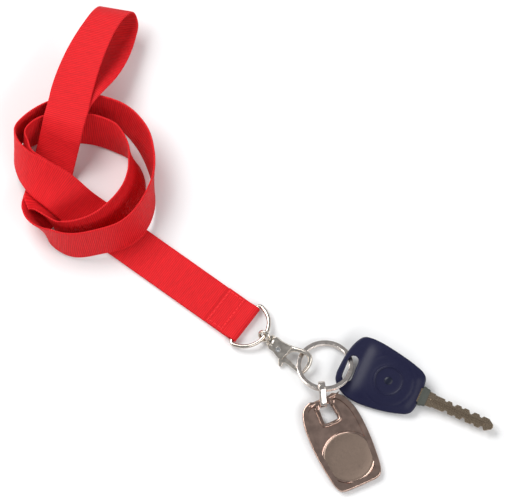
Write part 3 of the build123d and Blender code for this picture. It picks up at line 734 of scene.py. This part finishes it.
def build_key_head(side):
    """One moulded half: a slim rim, a crowned body with a raised ring, a hub and moulded grooves."""
    outline = closed_curve(KEY_OUTLINE, 6)
    name = "key_head_front" if side > 0 else "key_head_back"
    half = plate(name, key_place, [outline, key_slot()], KEY_EDGE, 0.7, 0, 4)
    # A fine grid over the upper face, raised by the crown's formula.
    bm = bmesh.new()
    bm.from_mesh(half.data)
    into = key_place.matrix().inverted()
    bm.transform(into)
    bmesh.ops.bisect_plane(bm, geom=bm.verts[:] + bm.edges[:] + bm.faces[:], plane_co=(0, 0, 0),
                           plane_no=(0, 0, side), clear_inner=True)
    for axis, low, high in ((0, -22.0, 18.8), (1, -15.6, 15.4)):
        for value in np.arange(low, high, 0.7):
            co, no = [0, 0, 0], [0, 0, 0]
            co[axis], no[axis] = value * MM, 1
            bmesh.ops.bisect_plane(bm, geom=bm.verts[:] + bm.edges[:] + bm.faces[:], plane_co=co, plane_no=no)
    bmesh.ops.triangulate(bm, faces=[f for f in bm.faces if len(f.verts) > 4])
    edge = np.array(outline)
    for v in bm.verts:
        x, y = v.co.x / MM, v.co.y / MM
        if abs(v.co.z) / MM < 0.3:
            continue
        inside = np.min(np.hypot(edge[:, 0] - x, edge[:, 1] - y))
        slot_gap = max(0.0, x + 14.4)
        crown = 1 - math.exp(-(inside / 4.2) ** 2)
        crown *= 1 - math.exp(-(slot_gap / 4.0) ** 2)
        r = math.hypot(x - KEY_CENTRE[0], y - KEY_CENTRE[1])
        lift = 1.55 * crown * (1 - 0.12 * (r / 15) ** 2)
        lift += 0.16 * math.exp(-((r - 7.3) / 0.55) ** 2) - 0.30 * math.exp(-(r / 6.6) ** 8) * (side > 0)
        groove = math.exp(-((r - 12.2) / 0.45) ** 2) * (0.5 + 0.5 * math.tanh((x + 6) / 2)) * crown
        lift -= 0.22 * groove
        v.co.z += side * lift * MM
    bm.transform(key_place.matrix())
    bm.normal_update()
    bmesh.ops.recalc_face_normals(bm, faces=bm.faces)
    bm.to_mesh(half.data)
    bm.free()
    return half


finished(build_key_head(1), navy, "key", ["key_bow_front"], 40)
finished(build_key_head(-1), navy, "key", ["key_bow_back"], 40)


def build_badge():
    """Thin raised ring round the stud."""
    place = Place(key_place.at(*KEY_CENTRE), key_place.x, key_place.z)
    z = 2.62
    return lathe("key_emblem_ring", place, [(6.2, z - 0.3), (6.25, z), (6.5, z + 0.18), (6.8, z + 0.2),
                                            (7.05, z + 0.1), (7.1, z - 0.3)], 72)


def build_stud():
    place = Place(key_place.at(*KEY_CENTRE), key_place.x, key_place.z)
    z = 2.25
    dome = [(0, z + 0.36), (0.9, z + 0.34), (1.6, z + 0.22), (1.95, z), (2.0, z - 0.3)]
    return lathe("key_emblem_stud", place, dome)


finished(build_badge(), navy, "key", ["key_badge"], 40)
finished(build_stud(), navy_deep, "key", ["key_stud"], 40)

BLADE_END = 56.1
BLADE_HALF = 3.0
TOP_BITS = ((31.0, 0.8), (35.0, 1.3), (39.5, 0.7), (44.0, 1.5), (49.0, 1.0))
LOW_BITS = ((32.5, 1.2), (37.0, 0.7), (41.5, 1.4), (46.5, 0.8), (51.0, 1.3))


def bitted_edge(bits, side):
    """Trapezoid cuts along one edge of the blade, from the bolster to the tip."""
    edge = [(25.6, side * BLADE_HALF)]
    for x, depth in bits:
        edge += [(x - 0.5 - depth * 0.62, side * BLADE_HALF), (x - 0.45, side * (BLADE_HALF - depth)),
                 (x + 0.45, side * (BLADE_HALF - depth)), (x + 0.5 + depth * 0.62, side * BLADE_HALF)]
    return edge + [(BLADE_END - 3.2, side * BLADE_HALF)]


def build_blade():
    """The bitted blade with a milled groove and a ridge along it, and its shank inside the head."""
    outline = [(4.4, -3.1), (8.4, -3.4), (25.0, -3.45)] + bitted_edge(LOW_BITS, -1)
    outline += [(BLADE_END - 0.4, -1.2), (BLADE_END, 0), (BLADE_END - 0.4, 1.2)]
    outline += bitted_edge(TOP_BITS, 1)[::-1] + [(25.0, 3.45), (8.4, 3.4), (4.4, 3.1)]
    grooves = []
    core = plate("core", key_place, [outline], 1.2, 0.06)
    groove = [(x, y - 0.2) for x, y in arc(0.62, 90, -90, 9, (51.4, 0)) + arc(0.62, -90, -270, 9, (24.6, 0))]
    for z in (0.72, -0.72):
        grooves.append(plate("face", key_place, [outline, groove], 0.72, 0.12, z))
    ridge_line = arc(0.4, 90, -90, 9, (53.4, 0)) + arc(0.4, -90, -270, 9, (24.0, 0))
    ridge = plate("ridge", key_place, [ridge_line], 2.5, 0.3)
    return join("key_blade_milled", [core, *grooves, ridge])


finished(build_blade(), key_steel, "key", ["key_blade"], 30)


def build_bolster():
    """Tapered collar between the head and the blade, with a raised lip."""
    rings = []
    for x, w, h in ((18.6, 4.4, 1.95), (19.0, 4.7, 2.2), (19.8, 4.7, 2.2), (20.2, 4.4, 2.05),
                    (21.7, 4.2, 1.85), (22.2, 3.95, 1.6), (22.3, 3.5, 1.12)):
        corner = 0.9
        ring = []
        for sx, sy, start in ((1, 1, 0), (-1, 1, 90), (-1, -1, 180), (1, -1, 270)):
            ring += arc(corner, start, start + 90, 5, (sx * (w - corner), sy * (h - min(corner, h - 0.1))))
        rings.append([key_place.at(x, a, b) for a, b in ring])
    m = len(rings[0])
    faces = [(i * m + k, i * m + (k + 1) % m, (i + 1) * m + (k + 1) % m, (i + 1) * m + k)
             for i in range(len(rings) - 1) for k in range(m)]
    faces += [tuple(range(m))[::-1], tuple((len(rings) - 1) * m + k for k in range(m))]
    obj = new_mesh("key_collar", np.array([p for ring in rings for p in ring]) * MM, faces)
    weld(obj, 1e-7)
    return obj


finished(build_bolster(), bolster_grey, "key", ["key_bolster"], 30)

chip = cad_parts["key_transponder"]
chip.data.materials.clear()
chip.data.materials.append(navy_deep)

# ---------------------------------------------------------------- the tag and its link
fob_place = tipped_place(np.array([32.3, -74.8, 2.85]) - MIDDLE, -65.5, 1.6)
FOB_OUTLINE = [
    (0.2, 3.8), (0.2, -3.8), (-0.3, -6.0), (1.4, -9.6), (5.0, -11.9), (12.0, -13.4), (22.8, -13.8),
    (33.5, -13.1), (42.0, -11.8), (45.6, -9.4), (46.2, -4.0), (46.2, 4.0), (45.6, 9.4), (42.0, 11.8),
    (33.5, 13.1), (22.8, 13.8), (12.0, 13.3), (5.1, 11.2), (1.6, 8.8), (-0.3, 5.8),
]
SLOT_OUTLINE = [
    (3.0, -3.1), (3.3, -3.4), (7.4, -3.7), (11.6, -3.9), (12.6, -3.1), (12.8, 0.0), (12.6, 3.1), (11.6, 3.9),
    (7.4, 3.7), (3.3, 3.4), (3.0, 3.1),
]
DISC_X = 31.4
DISC_RADIUS = 11.9


def scaled(outline, amount):
    """An outline moved inwards along its normals."""
    p = np.array(outline)
    along = unit(np.roll(p, -1, 0) - np.roll(p, 1, 0))
    normal = np.column_stack([-along[:, 1], along[:, 0]])
    if np.sum(p[:, 0] * np.roll(p[:, 1], -1) - np.roll(p[:, 0], -1) * p[:, 1]) < 0:
        normal = -normal
    return [tuple(v) for v in p + normal * amount]


def build_fob():
    """Cast frame: a floor, a rounded outer rim, a lip round the slot and a seat round the disc."""
    outline = closed_curve(FOB_OUTLINE, 6)
    slot_line = closed_curve(SLOT_OUTLINE, 6)
    floor_plate = plate("floor", fob_place, [outline, slot_line], 1.7, 0.5, -0.35)
    rim = plate("rim", fob_place, [outline, scaled(outline, 2.1)], 1.3, 0.55, 0.55)
    lip = plate("lip", fob_place, [scaled(slot_line, -1.5), slot_line], 1.3, 0.5, 0.55)
    seat = lathe("seat", Place(fob_place.at(DISC_X, 0), fob_place.x, fob_place.z),
                 [(DISC_RADIUS - 0.1, 0.4), (DISC_RADIUS - 0.1, 0.95), (DISC_RADIUS + 0.15, 1.12),
                  (DISC_RADIUS + 0.5, 1.1), (DISC_RADIUS + 0.85, 0.8), (DISC_RADIUS + 0.95, 0.4)], 96)
    into = fob_place.matrix().inverted()
    for part in (floor_plate, rim, lip):  # the bar the link holds is thinner, from below
        for v in part.data.vertices:
            x, y, z = into @ v.co / MM
            if x < 3.4 and z < 0:
                shape = max(0.0, min(1.0, (4.2 - abs(y)) / 0.8))
                v.co += fob_place.matrix().col[2].xyz * (0.6 * shape * min(1.0, -z) * MM)
    return join("tag_frame", [floor_plate, rim, lip, seat])


def build_disc():
    place = Place(fob_place.at(DISC_X, 0), fob_place.x, fob_place.z)
    z = 1.0
    r = DISC_RADIUS
    return lathe("tag_disc", place, [(0, z - 0.18), (r - 5.2, z - 0.16), (r - 1.6, z - 0.1), (r - 0.9, z),
                                     (r - 0.35, z + 0.02), (r - 0.12, z - 0.1), (r - 0.1, 0.5)], 96)


finished(build_fob(), tag_metal, "fob", ["fob_body"], 40)
finished(build_disc(), disc_metal, "fob", ["fob_disc"], 40)

link_side = tipped_place(np.array([33.1, -73.5, 5.2]) - MIDDLE, -84.0, 32.0)
link_place = Place(link_side.o, link_side.x, link_side.y)


def build_link():
    """A strip bent into a flat loop, its edges rounded."""
    length, height, band = 13.0, 6.4, 1.0
    half, r = (length - height) / 2, (height - band) / 2
    line_points = arc(r, 90, -90, 14, (half, 0)) + arc(r, -90, -270, 14, (-half, 0))
    flats = []
    for i, point in enumerate(line_points):
        following = line_points[(i + 1) % len(line_points)]
        flats.append(point)
        if math.dist(point, following) > 2:
            flats += [tuple(np.array(point) + (np.array(following) - point) * k / 6) for k in range(1, 6)]
    section = rounded_section(1.6, 0.5, 0.35)
    points = [link_place.at(x, y) for x, y in flats]
    outward = []
    for x, y in flats:
        core = max(-half, min(half, x))
        outward.append(unit(link_place.x * (x - core) + link_place.y * y))
    return sweep("tag_link", points, section, outward, True)


finished(build_link(), ring_steel, "fob_link", ["fob_link"], 40)


# ---------------------------------------------------------------- floor, lights and camera
def build_floor():
    mesh = bpy.data.meshes.new("floor")
    size = 3.0
    corners = [(-size, -size, 0), (size, -size, 0), (size, size, 0), (-size, size, 0)]
    mesh.from_pydata(corners, [], [(0, 1, 2, 3)])
    obj = bpy.data.objects.new("floor", mesh)
    bpy.context.scene.collection.objects.link(obj)
    obj.location.z = -0.0003
    material, *_ = shader("floor_paint", (0.86, 0.86, 0.86), 0.9)
    mesh.materials.append(material)


def area_light(name, place, target, size, power, colour=(1, 1, 1)):
    light = bpy.data.lights.new(name, "AREA")
    light.shape = "RECTANGLE"
    light.size, light.size_y = size
    light.energy = power
    light.color = colour
    obj = bpy.data.objects.new(name, light)
    bpy.context.scene.collection.objects.link(obj)
    obj.location = place
    obj.rotation_euler = (Vector(target) - Vector(place)).to_track_quat("-Z", "Y").to_euler()


CAMERA_ELEVATION = math.radians(72.0)
CAMERA_DISTANCE = 3.34


def build_camera():
    camera = bpy.data.cameras.new("camera")
    camera.lens = 500.0
    camera.sensor_width = 36.0
    camera.sensor_fit = "HORIZONTAL"
    camera.clip_start = 0.01
    obj = bpy.data.objects.new("camera", camera)
    bpy.context.scene.collection.objects.link(obj)
    target = Vector((-MIDDLE * MM).tolist())
    offset = Vector((0, -math.cos(CAMERA_ELEVATION), math.sin(CAMERA_ELEVATION))) * CAMERA_DISTANCE
    obj.location = target + offset
    obj.rotation_euler = (-offset).to_track_quat("-Z", "Y").to_euler()
    bpy.context.scene.camera = obj


build_floor()
area_light("key_light", (-0.45, 0.35, 0.75), (0, 0, 0), (0.7, 0.5), 7.6)
area_light("fill_light", (0.65, -0.3, 0.6), (0, 0, 0), (0.5, 0.5), 2.6)
area_light("near_light", (0.35, -0.75, 0.7), (0, 0, 0), (0.6, 0.3), 2.6)
area_light("side_light", (-0.9, -0.25, 0.25), (0, 0, 0), (0.5, 0.2), 1.6, (1.0, 0.93, 0.86))
world = bpy.data.worlds.new("studio")
bpy.context.scene.world = world
world.use_nodes = True
world.node_tree.nodes["Background"].inputs["Color"].default_value = (0.9, 0.92, 0.95, 1)
world.node_tree.nodes["Background"].inputs["Strength"].default_value = 0.35
bpy.context.scene.view_settings.view_transform = "Standard"
build_camera()
